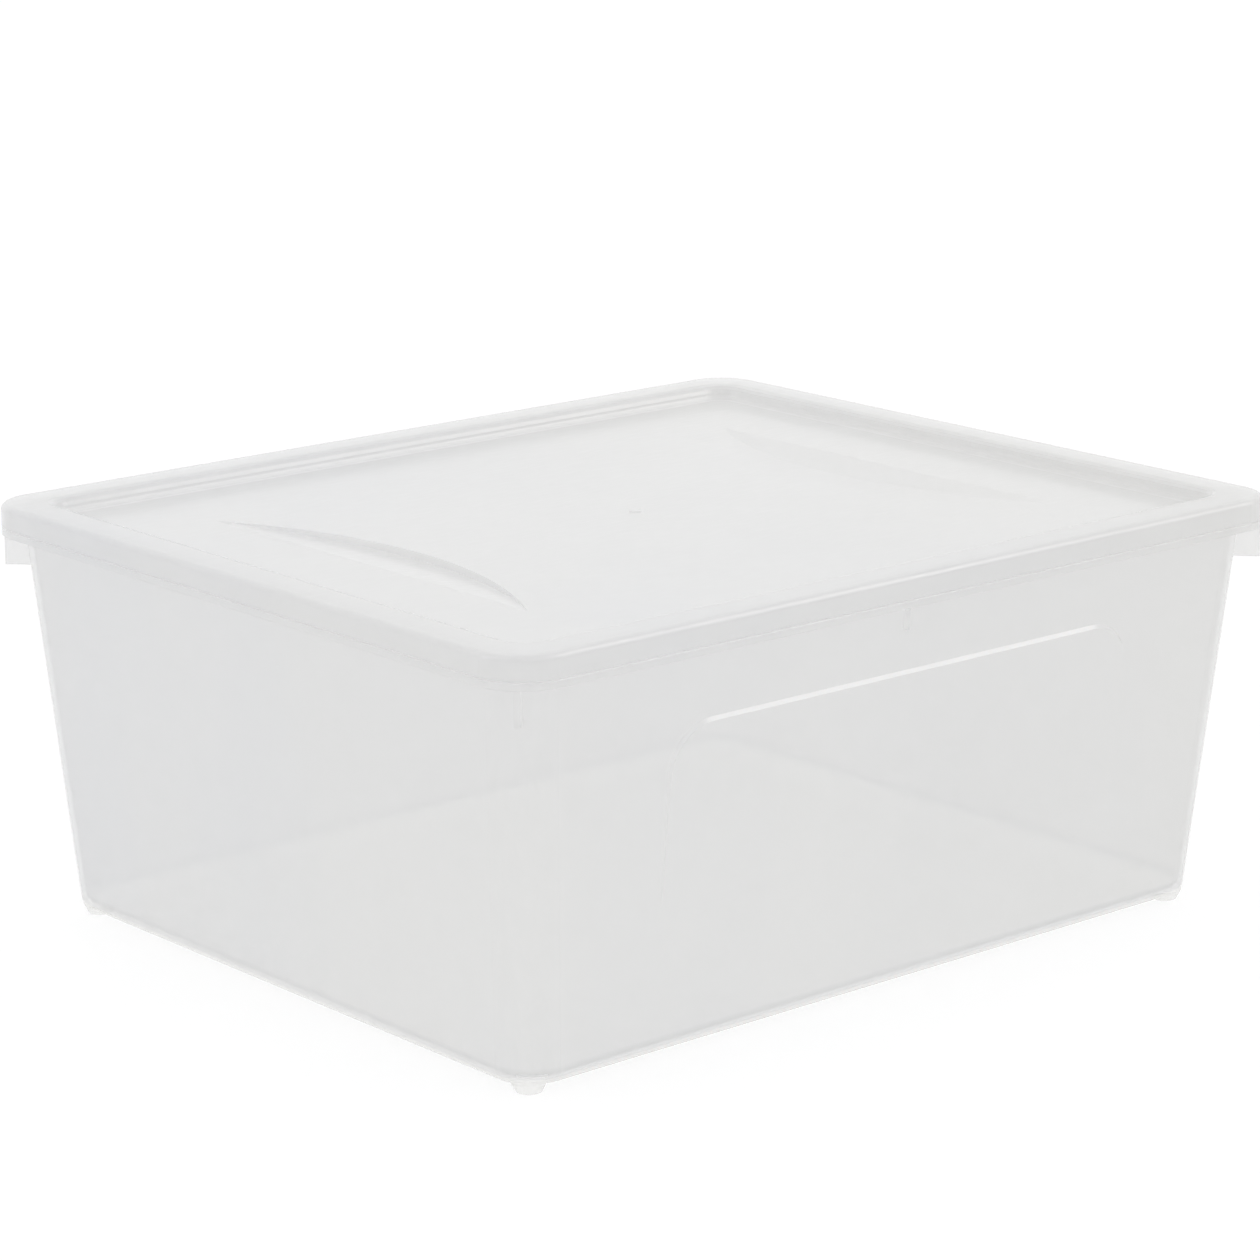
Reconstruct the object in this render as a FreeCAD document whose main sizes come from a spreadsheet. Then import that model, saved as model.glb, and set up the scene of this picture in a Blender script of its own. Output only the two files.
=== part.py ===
"""Clear moulded storage box for shoes: a tapered tub and a press-on lid.

Frame: millimetres, +Z up, origin on the ground plane at the centre of the footprint,
X along the long side.  The lid is modelled closed, resting on the tub's wall.
"""
import FreeCAD, Part
import Sketcher
import math
import os

os.makedirs("parts", exist_ok=True)

# ---------------------------------------------------------------- driving dimensions (mm)

DIMENSIONS = (
    # whole box, lid on
    ("box_length", 403.0),
    ("box_width", 335.0),
    ("box_height", 172.0),
    ("wall_draft", 4.82),          # degrees that each wall leans outwards
    # tub
    ("foot_height", 4.0),
    ("foot_radius", 5.0),          # round foot, at the ground
    ("foot_flare", 2.0),           # how much wider the foot is where it meets the base
    ("base_length", 362.0),        # outside the walls, at the base
    ("base_width", 294.0),
    ("base_radius", 17.0),
    ("mouth_radius", 18.5),        # wall corner radius at the mouth
    ("wall_gauge", 2.0),
    ("floor_gauge", 2.2),
    ("base_round", 3.0),           # rounding under the base edge
    ("inner_round", 2.5),          # rounding between the floor and the walls, inside
    ("flange_gauge", 1.8),
    ("flange_lip", 1.2),           # how far the flange's lip hangs below its underside
    ("lip_gauge", 1.6),
    ("gusset_gauge", 2.2),
    ("gusset_height", 14.5),
    ("lug_width", 11.0),
    ("lug_height", 11.5),
    ("lug_stand", 3.0),            # how far the lug stands out from the wall
    # raised arch panel on each long wall
    ("arch_span", 240.0),
    ("arch_top", 131.0),
    ("arch_foot", 62.0),           # height at which the panel has run out into the wall
    ("arch_radius", 19.0),
    ("arch_stand", 1.3),
    ("arch_bevel", 45.0),          # degrees that the panel's edge slopes back
    # lid
    ("lid_radius", 20.0),
    ("lid_gauge", 1.8),
    ("skirt_height", 9.4),
    ("skirt_gauge", 1.6),
    ("edge_round", 2.5),           # rounding along the lid's upper edge
    ("skirt_round", 0.5),          # rounding along the skirt's lower edge
    ("seat_gap", 0.3),             # skirt to flange, with the lid down
    ("rim_band", 15.7),            # flat border round the lid's recess
    ("rim_round", 3.0),            # rounding from that border down into the recess
    ("recess_depth", 6.0),
    ("recess_lean", 1.5),          # how far the recess wall leans in over its depth
    ("recess_radius", 9.0),
    ("recess_round", 2.0),         # rounding between the recess wall and the panel
    ("plug_gap", 0.5),             # plug rib to the tub's wall
    ("plug_gauge", 1.4),
    ("plug_height", 4.0),
    # crescent finger scoop at each end of the lid's panel
    ("scoop_chord", 194.0),
    ("scoop_rise", 27.0),
    ("scoop_line", 137.0),         # distance of the chord from the lid's centre
    ("scoop_depth", 3.0),
    ("gate_radius", 2.5),
    ("gate_height", 0.5),
)

# Worked-out sizes: each is a formula on the sheet, so it follows the driving ones.
FORMULAS = (
    ("wall_slope", "=tan(wall_draft * 1deg)"),
    ("wall_top", "=box_height - lid_gauge"),
    ("floor_top", "=foot_height + floor_gauge"),
    ("floor_length", "=base_length + 2 * (wall_slope * floor_gauge - wall_gauge)"),
    ("floor_width", "=base_width + 2 * (wall_slope * floor_gauge - wall_gauge)"),
    ("floor_radius", "=base_radius - wall_gauge"),
    ("inner_radius", "=mouth_radius - wall_gauge"),
    ("flange_top", "=box_height - skirt_height - seat_gap"),
    ("flange_under", "=flange_top - flange_gauge"),
    ("foot_centre", "=base_radius - (base_radius - foot_radius - foot_flare) / sqrt(2)"),
    ("gusset_edge", "=sqrt(2) * box_width / 2 - (sqrt(2) - 1) * lid_radius"),
    ("arch_slope", "=wall_slope + arch_stand / (arch_top - arch_foot)"),
    ("skirt_foot", "=box_height - skirt_height"),
    ("panel_top", "=box_height - recess_depth"),
    ("panel_under", "=panel_top - lid_gauge"),
    ("recess_slope", "=recess_lean / recess_depth"),
    ("recess_length", "=box_length - 2 * (rim_band + rim_round + recess_lean)"),
    ("recess_width", "=box_width - 2 * (rim_band + rim_round + recess_lean)"),
    ("tray_length", "=recess_length + 2 * lid_gauge"),
    ("tray_width", "=recess_width + 2 * lid_gauge"),
    ("tray_radius", "=recess_radius + lid_gauge"),
    ("plug_length", "=floor_length + 2 * (wall_slope * (wall_top - plug_height - floor_top) - plug_gap)"),
    ("plug_width", "=floor_width + 2 * (wall_slope * (wall_top - plug_height - floor_top) - plug_gap)"),
    ("scoop_radius", "=(scoop_chord ^ 2 / 4 + scoop_rise ^ 2) / (2 * scoop_rise)"),
)

OVERRUN = 5.0       # extra length that carries a cutting tool clear of the part
ROUND_STEPS = 3     # bands to a quarter turn, where a loft has a rounded edge

doc = FreeCAD.newDocument("shoe_box")
sheet = doc.addObject("Spreadsheet::Sheet", "sizes")
for row, (alias, value) in enumerate(DIMENSIONS + FORMULAS, start=1):
    sheet.set("A%d" % row, alias)
    sheet.set("B%d" % row, str(value))
    sheet.setAlias("B%d" % row, alias)
doc.recompute()


# ---------------------------------------------------------------- sizes and expressions

def size(alias):
    """Present value of one cell."""
    return float(getattr(sheet, alias))


def value_of(formula):
    """Present value of a formula in cell names, for a sketch's first guess."""
    return float(sheet.evalExpression(in_sheet(formula)))


def in_sheet(formula):
    """The formula with each <cell> pointed at the sheet."""
    return formula.replace("<", "sizes.").replace(">", "")


def bind(item, prop, formula):
    item.setExpression(prop, in_sheet(formula))


# ---------------------------------------------------------------- sketches

def origin_plane(body, role):
    return next(f for f in body.Origin.OriginFeatures if f.Role == role)


def new_sketch(body, name, plane="XY_Plane", lift=None):
    """An empty sketch on one of the body's own planes, moved along its normal by lift."""
    sketch = body.newObject("Sketcher::SketchObject", name)
    sketch.AttachmentSupport = [(origin_plane(body, plane), "")]
    sketch.MapMode = "FlatFace"
    if lift is not None:
        bind(sketch, ".AttachmentOffset.Base.z", lift)
    return sketch


def drive(sketch, constraint, name, formula):
    """Add a named constraint whose value comes from the sheet."""
    index = sketch.addConstraint(constraint)
    sketch.renameConstraint(index, name)
    bind(sketch, "Constraints." + name, formula)


def square_outline(sketch, sides, radii, tag=""):
    """Closed outline of level and upright sides, anticlockwise, with rounded corners.

    sides are ("x" or "y", formula): the place of each upright or level side.
    radii are one formula per corner, or None; corner i joins side i to the next.
    """
    con = Sketcher.Constraint
    count = len(sides)
    place = [value_of(formula) for _, formula in sides]
    corner = []
    for i in range(count):
        after = (i + 1) % count
        flat = (place[i], place[after]) if sides[i][0] == "x" else (place[after], place[i])
        corner.append(FreeCAD.Vector(flat[0], flat[1], 0))
    rounding = [value_of(radius) if radius else 0.0 for radius in radii]

    lines = []
    for i in range(count):
        start, end = corner[i - 1], corner[i]
        along = (end - start).normalize()
        lines.append(Part.LineSegment(start + along * rounding[i - 1], end - along * rounding[i]))
    line = list(sketch.addGeometry(lines, False))
    for i, (axis, formula) in enumerate(sides):
        sketch.addConstraint(con("Vertical" if axis == "x" else "Horizontal", line[i]))
        drive(sketch, con("Distance" + axis.upper(), -1, 1, line[i], 1, place[i]),
              "%sside%d" % (tag, i + 1), formula)
    for i in range(count):
        after = (i + 1) % count
        if not radii[i]:
            sketch.addConstraint(con("Coincident", line[i], 2, line[after], 1))
            continue
        start, end = lines[i].EndPoint, lines[after].StartPoint
        along = (corner[i] - corner[i - 1]).normalize()
        onward = (corner[after] - corner[i]).normalize()
        centre = end - along * rounding[i]
        middle = centre + (along - onward) * (rounding[i] / math.sqrt(2))
        arc = sketch.addGeometry(Part.Arc(start, middle, end), False)
        inside_turn = along.cross(onward).z < 0
        first, last = (2, 1) if inside_turn else (1, 2)
        sketch.addConstraint(con("Tangent", line[i], 2, arc, first))
        sketch.addConstraint(con("Tangent", arc, last, line[after], 1))
        drive(sketch, con("Radius", arc, rounding[i]), "%sradius%d" % (tag, i + 1), radii[i])


def rounded_rectangle(sketch, length, width, radius, tag=""):
    """Outline centred on the sketch's origin."""
    sides = (("y", "-(%s) / 2" % width), ("x", "(%s) / 2" % length),
             ("y", "(%s) / 2" % width), ("x", "-(%s) / 2" % length))
    square_outline(sketch, sides, (radius,) * 4, tag)


def level_outline(body, name, lift, length, width, radius):
    sketch = new_sketch(body, name, lift=lift)
    rounded_rectangle(sketch, length, width, radius)
    return sketch


def ring_outline(body, name, lift, length, width, radius, gauge):
    """Two outlines, one inside the other by gauge."""
    sketch = level_outline(body, name, lift, length, width, radius)
    rounded_rectangle(sketch, "%s - 2 * %s" % (length, gauge), "%s - 2 * %s" % (width, gauge),
                      "%s - %s" % (radius, gauge), tag="inner_")
    return sketch


def corner_outline(sketch, points):
    """Closed outline of straight sides through (across, up) formula pairs."""
    con = Sketcher.Constraint
    spots = [FreeCAD.Vector(value_of(across), value_of(up), 0) for across, up in points]
    count = len(spots)
    sides = [Part.LineSegment(spots[i], spots[(i + 1) % count]) for i in range(count)]
    line = list(sketch.addGeometry(sides, False))
    for i, (across, up) in enumerate(points):
        sketch.addConstraint(con("Coincident", line[i - 1], 2, line[i], 1))
        drive(sketch, con("DistanceX", -1, 1, line[i], 1, spots[i].x), "across%d" % i, across)
        drive(sketch, con("DistanceY", -1, 1, line[i], 1, spots[i].y), "up%d" % i, up)


def crescent_outline(sketch, chord, rise, radius):
    """Upright chord through the origin and the arc that bulges from it towards +x."""
    con = Sketcher.Constraint
    half, bulge = value_of(chord) / 2, value_of(rise)
    low, high = FreeCAD.Vector(0, -half, 0), FreeCAD.Vector(0, half, 0)
    straight = sketch.addGeometry(Part.LineSegment(high, low), False)
    arc = sketch.addGeometry(Part.Arc(low, FreeCAD.Vector(bulge, 0, 0), high), False)
    sketch.addConstraint(con("Vertical", straight))
    sketch.addConstraint(con("Symmetric", straight, 1, straight, 2, -1, 1))
    sketch.addConstraint(con("Coincident", straight, 2, arc, 1))
    sketch.addConstraint(con("Coincident", arc, 2, straight, 1))
    drive(sketch, con("DistanceY", straight, 2, straight, 1, 2 * half), "chord", chord)
    drive(sketch, con("Radius", arc, value_of(radius)), "bulge", radius)


# ---------------------------------------------------------------- features

def extrude(body, kind, name, sketch, length, side="One side", flip=False):
    """Pad or Pocket of a sketch; flip turns it to the other side of the sketch."""
    feature = body.newObject("PartDesign::" + kind, name)
    feature.Profile = sketch
    feature.SideType = side
    feature.Reversed = flip
    bind(feature, "Length", length)
    return feature


def tapered_block(body, kind, name, foot, top, lengths, radii, slope, round_low, round_high=None):
    """Loft with straight leaning walls that widens upwards from foot to top.

    lengths are the cells of its length and width at the foot, radii those of its corner
    radius at the foot and at the top.  The lower edge is rounded inwards, and the upper one
    outwards if round_high is given, by a fan of narrow bands.
    """
    length, width = lengths
    low_radius, high_radius = radii
    sections = []

    def section(height, outset, radius):
        sections.append(level_outline(
            body, "%s_%d" % (name, len(sections) + 1), height,
            "<%s> + 2 * (%s)" % (length, outset), "<%s> + 2 * (%s)" % (width, outset), radius))

    for step in range(ROUND_STEPS + 1):
        turn = 90.0 * step / ROUND_STEPS
        inset = "<%s> * (1 - sin(%gdeg))" % (round_low, turn)
        rise = "<%s> * (1 - cos(%gdeg))" % (round_low, turn)
        section("<%s> + %s" % (foot, rise), "<%s> * %s - %s" % (slope, rise, inset),
                "<%s> - %s" % (low_radius, inset))
    if round_high:
        for step in range(ROUND_STEPS + 1):
            turn = 90.0 * step / ROUND_STEPS
            drop = "<%s> * (1 - sin(%gdeg))" % (round_high, turn)
            flare = "<%s> * (1 - cos(%gdeg))" % (round_high, turn)
            section("<%s> - %s" % (top, drop),
                    "<%s> * (<%s> - <%s> - %s) + %s" % (slope, top, foot, drop, flare),
                    "<%s> + %s" % (high_radius, flare))
    else:
        section("<%s>" % top, "<%s> * (<%s> - <%s>)" % (slope, top, foot), "<%s>" % high_radius)
    feature = body.newObject("PartDesign::%sLoft" % kind, name)
    feature.Profile = sections[0]
    feature.Sections = sections[1:]
    feature.Ruled = True
    return feature


def mirrored(body, name, source, planes):
    """Repeat a feature across one or two of the body's own planes."""
    steps = []
    for plane in planes:
        step = body.newObject("PartDesign::Mirrored", "%s_across_%s" % (name, plane[:2]))
        step.MirrorPlane = (origin_plane(body, plane), [""])
        steps.append(step)
    if len(steps) == 1:
        steps[0].Originals = [source]
        body.Tip = steps[0]
        return steps[0]
    whole = body.newObject("PartDesign::MultiTransform", name + "_set")
    whole.Originals = [source]
    whole.Transformations = steps
    body.Tip = whole
    return whole


def level_edges(feature, height, beyond):
    """Names of the level edges at a height whose middle lies beyond a half length and width."""
    names = []
    for number, edge in enumerate(feature.Shape.Edges, start=1):
        ends = [edge.valueAt(edge.FirstParameter), edge.valueAt(edge.LastParameter)]
        middle = edge.valueAt((edge.FirstParameter + edge.LastParameter) / 2)
        level = all(abs(point.z - height) < 0.001 for point in ends + [middle])
        if level and (abs(middle.x) > beyond[0] or abs(middle.y) > beyond[1]):
            names.append("Edge%d" % number)
    return names


def round_edges(body, name, base, edges, radius):
    feature = body.newObject("PartDesign::Fillet", name)
    feature.Base = (base, edges)
    bind(feature, "Radius", radius)
    return feature


# ---------------------------------------------------------------- tub

def flange(body):
    """Flat flange round the wall, level with the lid's skirt, with a lip hanging from its edge."""
    plate = level_outline(body, "flange_outline", "<flange_under>",
                          "<box_length>", "<box_width>", "<lid_radius>")
    extrude(body, "Pad", "flange", plate, "<flange_gauge>")
    ring = ring_outline(body, "lip_outline", "<flange_under> - <flange_lip>",
                        "<box_length>", "<box_width>", "<lid_radius>", "<lip_gauge>")
    lip = extrude(body, "Pad", "flange_lip", ring, "<flange_lip> + <flange_gauge> / 2")
    doc.recompute()
    beyond = (size("box_length") / 2 - 0.5, size("box_width") / 2 - 0.5)
    edges = level_edges(lip, size("flange_under") - size("flange_lip"), beyond)
    edges += level_edges(lip, size("flange_top"), beyond)
    return round_edges(body, "flange_edge", lip, edges, "<lip_gauge> / 4")


def gussets(body):
    """Upright web under the flange at each corner, in the corner's diagonal plane.

    Across is measured along the diagonal, from where it crosses the box's X axis.  The inner
    edge starts inside the wall, and the cavity trims it.
    """
    sketch = new_sketch(body, "gusset_outline", "XZ_Plane")
    sketch.AttachmentOffset = FreeCAD.Placement(
        FreeCAD.Vector(), FreeCAD.Rotation(FreeCAD.Vector(0, 1, 0), 45))
    bind(sketch, ".AttachmentOffset.Base.x", "(<box_length> - <box_width>) / 2")
    inner = "<base_width> / sqrt(2)"
    low = "<flange_under> - <gusset_height>"
    high = "<flange_under> + <flange_gauge> / 2"
    corner_outline(sketch, (
        (inner, low),
        ("<gusset_edge> - <lip_gauge> / 2", low),
        ("<gusset_edge> - <lip_gauge> / 2", high),
        (inner, high),
    ))
    web = extrude(body, "Pad", "gusset", sketch, "<gusset_gauge>", side="Symmetric")
    return mirrored(body, "gusset", web, ("XZ_Plane", "YZ_Plane"))


def lugs(body):
    """Small upright block under the flange at the middle of each long side."""
    sketch = new_sketch(body, "lug_outline", "YZ_Plane")
    low = "<flange_under> - <lug_height>"
    high = "<flange_under> + <flange_gauge> / 2"
    face = "<base_width> / 2 + <wall_slope> * (%s - <foot_height>) + <lug_stand>"
    corner_outline(sketch, (
        ("<base_width> / 2", low),
        (face % ("(%s)" % low), low),
        (face % ("(%s)" % high), high),
        ("<base_width> / 2", high),
    ))
    block = extrude(body, "Pad", "lug", sketch, "<lug_width>", side="Symmetric")
    return mirrored(body, "lug", block, ("XZ_Plane",))


def arch_panels(body):
    """Raised panel with an arched top on each long wall.

    Its face leans more than the wall does, so it stands proud at the top and runs out
    into the wall further down.  It widens from the face inwards, so its edge is bevelled.
    """
    sketch = new_sketch(body, "arch_outline", "XZ_Plane",
                        "<base_width> / 2 - <wall_slope> * <foot_height>"
                        " - (<arch_slope> - <wall_slope>) * <arch_foot>")
    offset = sketch.AttachmentOffset
    offset.Rotation = FreeCAD.Rotation(FreeCAD.Vector(1, 0, 0), 5)
    sketch.AttachmentOffset = offset
    bind(sketch, ".AttachmentOffset.Rotation.Angle", "atan(<arch_slope>)")
    square_outline(sketch, (
        ("y", "<arch_foot> - %g" % OVERRUN),
        ("x", "<arch_span> / 2"),
        ("y", "<arch_top> / cos(atan(<arch_slope>))"),
        ("x", "-<arch_span> / 2"),
    ), (None, "<arch_radius>", "<arch_radius>", None))
    panel = extrude(body, "Pad", "arch", sketch, "<wall_gauge> + <arch_stand>", flip=True)
    bind(panel, "TaperAngle", "<arch_bevel>")
    return mirrored(body, "arch", panel, ("XZ_Plane",))


def feet(body):
    """Round foot under each corner that widens upwards and runs into the base's rounding."""
    sketch = new_sketch(body, "foot_outline", "XZ_Plane")
    bind(sketch, ".AttachmentOffset.Base.x", "<base_length> / 2 - <foot_centre>")
    bind(sketch, ".AttachmentOffset.Base.z", "<foot_centre> - <base_width> / 2")
    corner_outline(sketch, (
        ("0", "0"),
        ("<foot_radius>", "0"),
        ("<foot_radius> + <foot_flare>", "<foot_height>"),
        ("<foot_radius> + <foot_flare>", "<foot_height> + <base_round>"),
        ("0", "<foot_height> + <base_round>"),
    ))
    foot = body.newObject("PartDesign::Revolution", "foot")
    foot.Profile = sketch
    foot.ReferenceAxis = (sketch, ["V_Axis"])
    foot.Angle = 360
    return mirrored(body, "foot", foot, ("XZ_Plane", "YZ_Plane"))


def gate_mark(body, height):
    """Round vestige where the plastic entered the mould, half sunk in the face it stands on."""
    sketch = new_sketch(body, "gate_outline", lift=height)
    circle = Part.Circle(FreeCAD.Vector(), FreeCAD.Vector(0, 0, 1), size("gate_radius"))
    disc = sketch.addGeometry(circle, False)
    sketch.addConstraint(Sketcher.Constraint("Coincident", disc, 3, -1, 1))
    drive(sketch, Sketcher.Constraint("Radius", disc, size("gate_radius")),
          "gate_radius", "<gate_radius>")
    return extrude(body, "Pad", "gate", sketch, "2 * <gate_height>")


def make_tub():
    body = doc.addObject("PartDesign::Body", "tub")
    tapered_block(body, "Additive", "wall_block", "foot_height", "wall_top",
                  ("base_length", "base_width"), ("base_radius", "mouth_radius"),
                  "wall_slope", "base_round")
    flange(body)
    gussets(body)
    lugs(body)
    arch_panels(body)
    feet(body)
    tapered_block(body, "Subtractive", "cavity", "floor_top", "wall_top",
                  ("floor_length", "floor_width"), ("floor_radius", "inner_radius"),
                  "wall_slope", "inner_round")
    gate_mark(body, "<foot_height> - <gate_height>")
    return body


# ---------------------------------------------------------------- lid

def skirt_and_rim(body):
    """Upside-down tray: the top plate and the skirt that hangs from its edge."""
    block = level_outline(body, "skirt_outline", "<skirt_foot>",
                          "<box_length>", "<box_width>", "<lid_radius>")
    slab = extrude(body, "Pad", "slab", block, "<skirt_height>")
    doc.recompute()
    beyond = (size("box_length") / 2 - 0.5, size("box_width") / 2 - 0.5)
    rim = round_edges(body, "rim_edge", slab, level_edges(slab, size("box_height"), beyond),
                      "<edge_round>")
    doc.recompute()
    round_edges(body, "skirt_edge", rim, level_edges(rim, size("skirt_foot"), beyond),
                "<skirt_round>")
    inside = level_outline(body, "hollow_outline", "<skirt_foot>",
                           "<box_length> - 2 * <skirt_gauge>", "<box_width> - 2 * <skirt_gauge>",
                           "<lid_radius> - <skirt_gauge>")
    return extrude(body, "Pocket", "hollow", inside, "<skirt_height> - <lid_gauge>", flip=True)


def scoop_sketch(body, name, drop, wider):
    """Crescent on a plane that tips down from the chord towards the lid's centre."""
    sketch = new_sketch(body, name, lift="<panel_top> - %s" % drop)
    offset = sketch.AttachmentOffset
    offset.Rotation = FreeCAD.Rotation(FreeCAD.Vector(0, 1, 0), 5)
    sketch.AttachmentOffset = offset
    bind(sketch, ".AttachmentOffset.Base.x", "-<scoop_line>")
    bind(sketch, ".AttachmentOffset.Rotation.Angle", "atan(<scoop_depth> / <scoop_rise>)")
    crescent_outline(sketch, "<scoop_chord> + 2 * %s" % wider, "<scoop_rise> + %s" % wider,
                     "<scoop_radius> + %s" % wider)
    return sketch


def scoop_shells(body):
    """Thickening under the panel that the crescent scoops are cut into."""
    under = scoop_sketch(body, "scoop_under", "<lid_gauge>", "<lid_gauge>")
    shell = extrude(body, "Pad", "scoop_shell", under, "<scoop_depth> + <lid_gauge>")
    return mirrored(body, "scoop_shell", shell, ("YZ_Plane",))


def scoops(body):
    """Crescent scoop at each end of the panel, deepest at the middle of its curved edge."""
    outline = scoop_sketch(body, "scoop_outline", "0", "0")
    cut = extrude(body, "Pocket", "scoop", outline, "<scoop_depth> + 1", flip=True)
    return mirrored(body, "scoop", cut, ("YZ_Plane",))


def make_lid():
    body = doc.addObject("PartDesign::Body", "lid")
    skirt_and_rim(body)
    tapered_block(body, "Additive", "tray", "panel_under", "wall_top",
                  ("tray_length", "tray_width"), ("tray_radius", "tray_radius"),
                  "recess_slope", "recess_round")
    plug = ring_outline(body, "plug_outline", "<wall_top> - <plug_height>",
                        "<plug_length>", "<plug_width>", "<inner_radius>", "<plug_gauge>")
    extrude(body, "Pad", "plug_rib", plug, "<plug_height> + <lid_gauge> / 2")
    scoop_shells(body)
    tapered_block(body, "Subtractive", "recess", "panel_top", "box_height",
                  ("recess_length", "recess_width"), ("recess_radius", "recess_radius"),
                  "recess_slope", "recess_round", "rim_round")
    scoops(body)
    gate_mark(body, "<panel_top> - <gate_height>")
    return body


# ---------------------------------------------------------------- build, check and write

def check_and_write(bodies):
    """Stop if anything failed to compute, then write one STEP file per body."""
    doc.recompute()
    failed = [item.Name for item in doc.Objects
              if "Invalid" in item.State or "Error" in item.State]
    if failed:
        raise RuntimeError("not computed: " + ", ".join(failed))
    for body in bodies:
        shape = body.Shape
        if shape.isNull() or not shape.isValid() or len(shape.Solids) != 1:
            raise RuntimeError(body.Label + " is not one valid solid")
        shape.exportStep(os.path.join("parts", body.Label + ".step"))
        print(body.Label, "%.1f cm3" % (shape.Volume / 1000))


check_and_write([make_tub(), make_lid()])
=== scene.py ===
"""Looks for a clear moulded shoe box: a tapered tub and its press-on lid.

The tub and the lid keep the shapes they are packed with.  This script gives both their clear,
slightly milky polypropylene, and sets up a plain white studio with a camera.
"""

import bpy
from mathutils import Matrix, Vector


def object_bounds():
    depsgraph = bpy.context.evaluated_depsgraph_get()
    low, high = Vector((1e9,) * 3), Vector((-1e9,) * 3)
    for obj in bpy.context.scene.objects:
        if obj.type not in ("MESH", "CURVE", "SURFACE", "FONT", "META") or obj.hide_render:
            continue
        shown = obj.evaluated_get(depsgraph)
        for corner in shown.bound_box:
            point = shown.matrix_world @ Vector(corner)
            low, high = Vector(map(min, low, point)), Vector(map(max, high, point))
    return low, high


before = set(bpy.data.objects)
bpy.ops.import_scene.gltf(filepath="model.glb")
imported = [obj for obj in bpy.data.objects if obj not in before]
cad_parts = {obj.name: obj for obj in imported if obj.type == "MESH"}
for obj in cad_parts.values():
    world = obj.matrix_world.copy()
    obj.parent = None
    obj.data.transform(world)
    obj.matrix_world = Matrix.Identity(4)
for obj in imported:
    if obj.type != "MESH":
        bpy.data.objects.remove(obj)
cad_box = [list(corner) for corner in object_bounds()]
low, high = (Vector(corner) for corner in cad_box)
middle = (low + high) / 2
scene = bpy.context.scene


# ---------------------------------------------------------------- node helpers

class Graph:
    """Short calls for adding nodes to one material."""

    def __init__(self, name):
        self.material = bpy.data.materials.new(name)
        self.material.use_nodes = True
        self.tree = self.material.node_tree
        self.shader = self.tree.nodes["Principled BSDF"]

    def node(self, kind, **settings):
        made = self.tree.nodes.new("ShaderNode" + kind)
        for key, value in settings.items():
            setattr(made, key, value)
        return made

    def link(self, source, target):
        self.tree.links.new(source, target)

    def maths(self, operation, first, second):
        """One Math node; each input is a number or an output."""
        made = self.node("Math", operation=operation)
        for socket, value in zip(made.inputs, (first, second)):
            if isinstance(value, (int, float)):
                socket.default_value = value
            else:
                self.link(value, socket)
        return made.outputs["Value"]

    def spread(self, value, start, end, first, last, smooth=False):
        """Map Range: start..end of value becomes first..last."""
        made = self.node("MapRange")
        made.interpolation_type = "SMOOTHSTEP" if smooth else "LINEAR"
        self.link(value, made.inputs["Value"])
        for name, number in (("From Min", start), ("From Max", end),
                             ("To Min", first), ("To Max", last)):
            made.inputs[name].default_value = number
        return made.outputs["Result"]

    def noise(self, place, scale, detail=2.0, roughness=0.5):
        made = self.node("TexNoise")
        made.inputs["Scale"].default_value = scale
        made.inputs["Detail"].default_value = detail
        made.inputs["Roughness"].default_value = roughness
        self.link(place, made.inputs["Vector"])
        return made.outputs["Fac"]

    def stretched(self, place, factors):
        """The place vector, scaled by a factor on each axis."""
        made = self.node("Mapping")
        made.inputs["Scale"].default_value = factors
        self.link(place, made.inputs["Vector"])
        return made.outputs["Vector"]

    def blend_colour(self, share, first, second):
        made = self.node("Mix", data_type="RGBA")
        self.link(share, made.inputs["Factor"])
        for socket, colour in ((made.inputs[6], first), (made.inputs[7], second)):
            if isinstance(colour, tuple):
                socket.default_value = (*colour, 1.0)
            else:
                self.link(colour, socket)
        return made.outputs[2]


# ---------------------------------------------------------------- clear polypropylene

MILKY = (0.661, 0.661, 0.659)        # the light that the plastic scatters back
COOL_LAMP_TINT = (0.642, 0.646, 0.656)         # painted tint of the cool light from the left, shown in the flow streaks at the -X end
WARM_LAMP_TINT = (0.658, 0.656, 0.648)         # and painted tint of the warm light from the right, at the +X end
FOOT_PAINTED_SHADE = (0.570, 0.572, 0.578)         # the foot of the walls, where the plastic is deepest: painted shade along the inside crease with the floor
FLOOR_CREAM_AND_PAINTED_LIGHT = (0.722, 0.720, 0.703)         # the floor of the tub: a faint cream yellowing, and painted lighter to offset the shade it lies in under the lid and walls
TINT_REACH = 0.15                    # metres each way from the middle, from cool to warm
FLOOR_COLOUR_FADE = (0.0062, 0.0070)         # heights in metres, from the floor's colour, painted lighter, to the wall's
FOOT_SHADE_START = (0.0062, 0.0075)        # heights over which the painted shade at the foot comes in
FOOT_SHADE_END = (0.0085, 0.0110)          # and over which it goes out again
LIGHT_PASSED = 0.88                  # how much less solid the sheet is to light than to the eye


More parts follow.
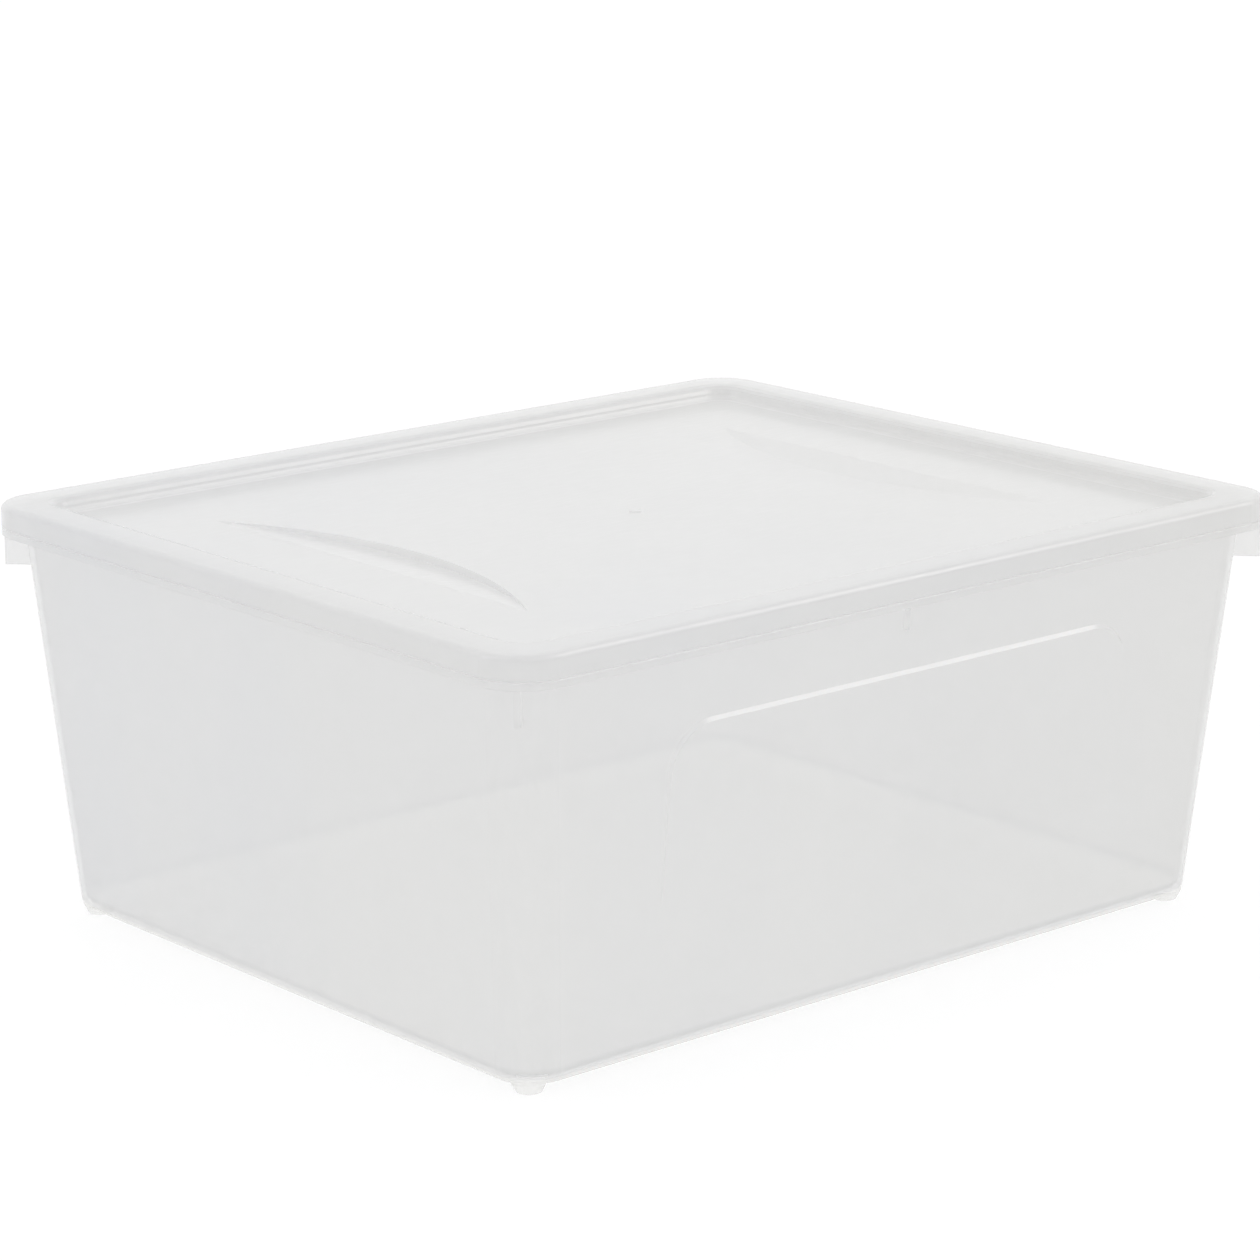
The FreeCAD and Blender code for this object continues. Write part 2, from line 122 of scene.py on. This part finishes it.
def polypropylene(name, face_on, edge_on, roughness):
    """Clear, slightly milky plastic.

    face_on and edge_on are how solid one surface of the sheet looks from straight ahead and
    from along it.  The flow of the plastic leaves long faint streaks, and handling leaves
    fine rubs that show in the gloss.
    """
    graph = Graph(name)
    place = graph.node("TexCoord").outputs["Object"]
    split = graph.node("SeparateXYZ")
    graph.link(place, split.inputs["Vector"])
    along, height = split.outputs["X"], split.outputs["Z"]

    # colour: flow streaks with a painted tint of the coloured lamps, the floor's colour painted
    # lighter against its shade, then painted shade at the foot of the walls
    flow = graph.noise(graph.stretched(place, (5.0, 5.0, 1.6)), 1.4, 3.0)
    streak = graph.spread(flow, 0.35, 0.65, 0.0, 1.0, True)
    # painted light: the streaks go cool towards -X and warm towards +X, standing in for the
    # coloured lamps on each side
    lamp_tint = graph.blend_colour(graph.spread(along, -TINT_REACH, TINT_REACH, 0.0, 1.0), COOL_LAMP_TINT, WARM_LAMP_TINT)
    body = graph.blend_colour(streak, MILKY, lamp_tint)
    # the floor: cream yellowing, and painted lighter than the walls to offset its shade
    body = graph.blend_colour(graph.spread(height, *FLOOR_COLOUR_FADE, 1.0, 0.0), body, FLOOR_CREAM_AND_PAINTED_LIGHT)
    # painted shade: a darker band along the foot of the walls, just above the floor
    foot_shade = graph.maths("MULTIPLY", graph.spread(height, *FOOT_SHADE_START, 0.0, 1.0),
                       graph.spread(height, *FOOT_SHADE_END, 1.0, 0.0))
    graph.link(graph.blend_colour(foot_shade, body, FOOT_PAINTED_SHADE), graph.shader.inputs["Base Color"])

    # clearness: more solid along the sheet, a little uneven, and clearer to light
    facing = graph.node("LayerWeight")
    facing.inputs["Blend"].default_value = 0.5
    turned = graph.maths("POWER", facing.outputs["Facing"], 2.2)
    solid = graph.spread(turned, 0.0, 1.0, face_on, edge_on)
    cloud = graph.noise(place, 9.0, 4.0, 0.55)
    mottled = graph.maths("MULTIPLY", solid, graph.spread(cloud, 0.3, 0.7, 0.97, 1.03))
    ray = graph.node("LightPath").outputs
    lighting = graph.maths("MAXIMUM", ray["Is Shadow Ray"], ray["Is Diffuse Ray"])
    kept = graph.spread(lighting, 0.0, 1.0, 1.0, 1.0 - LIGHT_PASSED)
    graph.link(graph.maths("MULTIPLY", mottled, kept), graph.shader.inputs["Alpha"])

    # gloss, dulled where it has been rubbed
    rubs = graph.noise(graph.stretched(place, (1.0, 7.0, 1.0)), 90.0, 3.0, 0.6)
    graph.link(graph.spread(rubs, 0.35, 0.75, roughness - 0.03, roughness + 0.07),
               graph.shader.inputs["Roughness"])
    graph.shader.inputs["IOR"].default_value = 1.49
    return graph.material


FINISHES = {
    "tub": polypropylene("clear_tub", face_on=0.38, edge_on=0.66, roughness=0.12),
    "lid": polypropylene("clear_lid", face_on=0.42, edge_on=0.76, roughness=0.14),
}
for node, finish in FINISHES.items():
    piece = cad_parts[node]
    for slot in piece.material_slots:
        slot.material = finish


# ---------------------------------------------------------------- white studio

def studio_world(strength):
    world = bpy.data.worlds.new("studio")
    world.use_nodes = True
    ground = world.node_tree.nodes["Background"]
    ground.inputs["Color"].default_value = (1.0, 1.0, 1.0, 1.0)
    ground.inputs["Strength"].default_value = strength
    scene.world = world


def studio_floor(half_side):
    """Pale floor, wide enough that its edge is never in sight."""
    mesh = bpy.data.meshes.new("floor")
    signs = ((-1, -1), (1, -1), (1, 1), (-1, 1))
    corners = [(x * half_side, y * half_side, 0.0) for x, y in signs]
    mesh.from_pydata(corners, [], [(0, 1, 2, 3)])
    floor = bpy.data.objects.new("floor", mesh)
    scene.collection.objects.link(floor)
    paint = Graph("floor_paint")
    paint.shader.inputs["Base Color"].default_value = (0.93, 0.93, 0.93, 1.0)
    paint.shader.inputs["Roughness"].default_value = 0.9
    paint.shader.inputs["Specular IOR Level"].default_value = 0.0
    mesh.materials.append(paint.material)


def softbox(name, place, width, height, watts, colour):
    """A tall lamp that only puts highlights on the gloss; the world gives the light."""
    data = bpy.data.lights.new(name, "AREA")
    data.shape = "RECTANGLE"
    data.size = width
    data.size_y = height
    data.energy = watts
    data.color = colour
    lamp = bpy.data.objects.new(name, data)
    lamp.visible_diffuse = False
    data.cycles.max_bounces = 0
    lamp.location = place
    lamp.rotation_euler = (middle - Vector(place)).to_track_quat("-Z", "Y").to_euler()
    scene.collection.objects.link(lamp)


def studio_camera(place, target, lens):
    data = bpy.data.cameras.new("camera")
    data.sensor_width = 36.0
    data.lens = lens
    camera = bpy.data.objects.new("camera", data)
    camera.location = place
    camera.rotation_euler = (Vector(target) - Vector(place)).to_track_quat("-Z", "Y").to_euler()
    scene.collection.objects.link(camera)
    scene.camera = camera


scene.view_settings.view_transform = "Standard"
scene.cycles.transparent_max_bounces = 64
scene.cycles.max_bounces = 16
studio_world(strength=1.12)
studio_floor(half_side=4.0)
softbox("left_softbox", place=(-2.0, 1.0, 1.3), width=0.45, height=1.3,
        watts=10.0, colour=(0.96, 0.97, 1.0))
softbox("right_softbox", place=(1.60, -1.25, 1.6), width=1.0, height=1.3,
        watts=26.0, colour=(1.0, 0.975, 0.95))
studio_camera(place=(-1.0969, -1.2542, 0.5482), target=(0.2845, 0.3293, 0.004), lens=121.35)
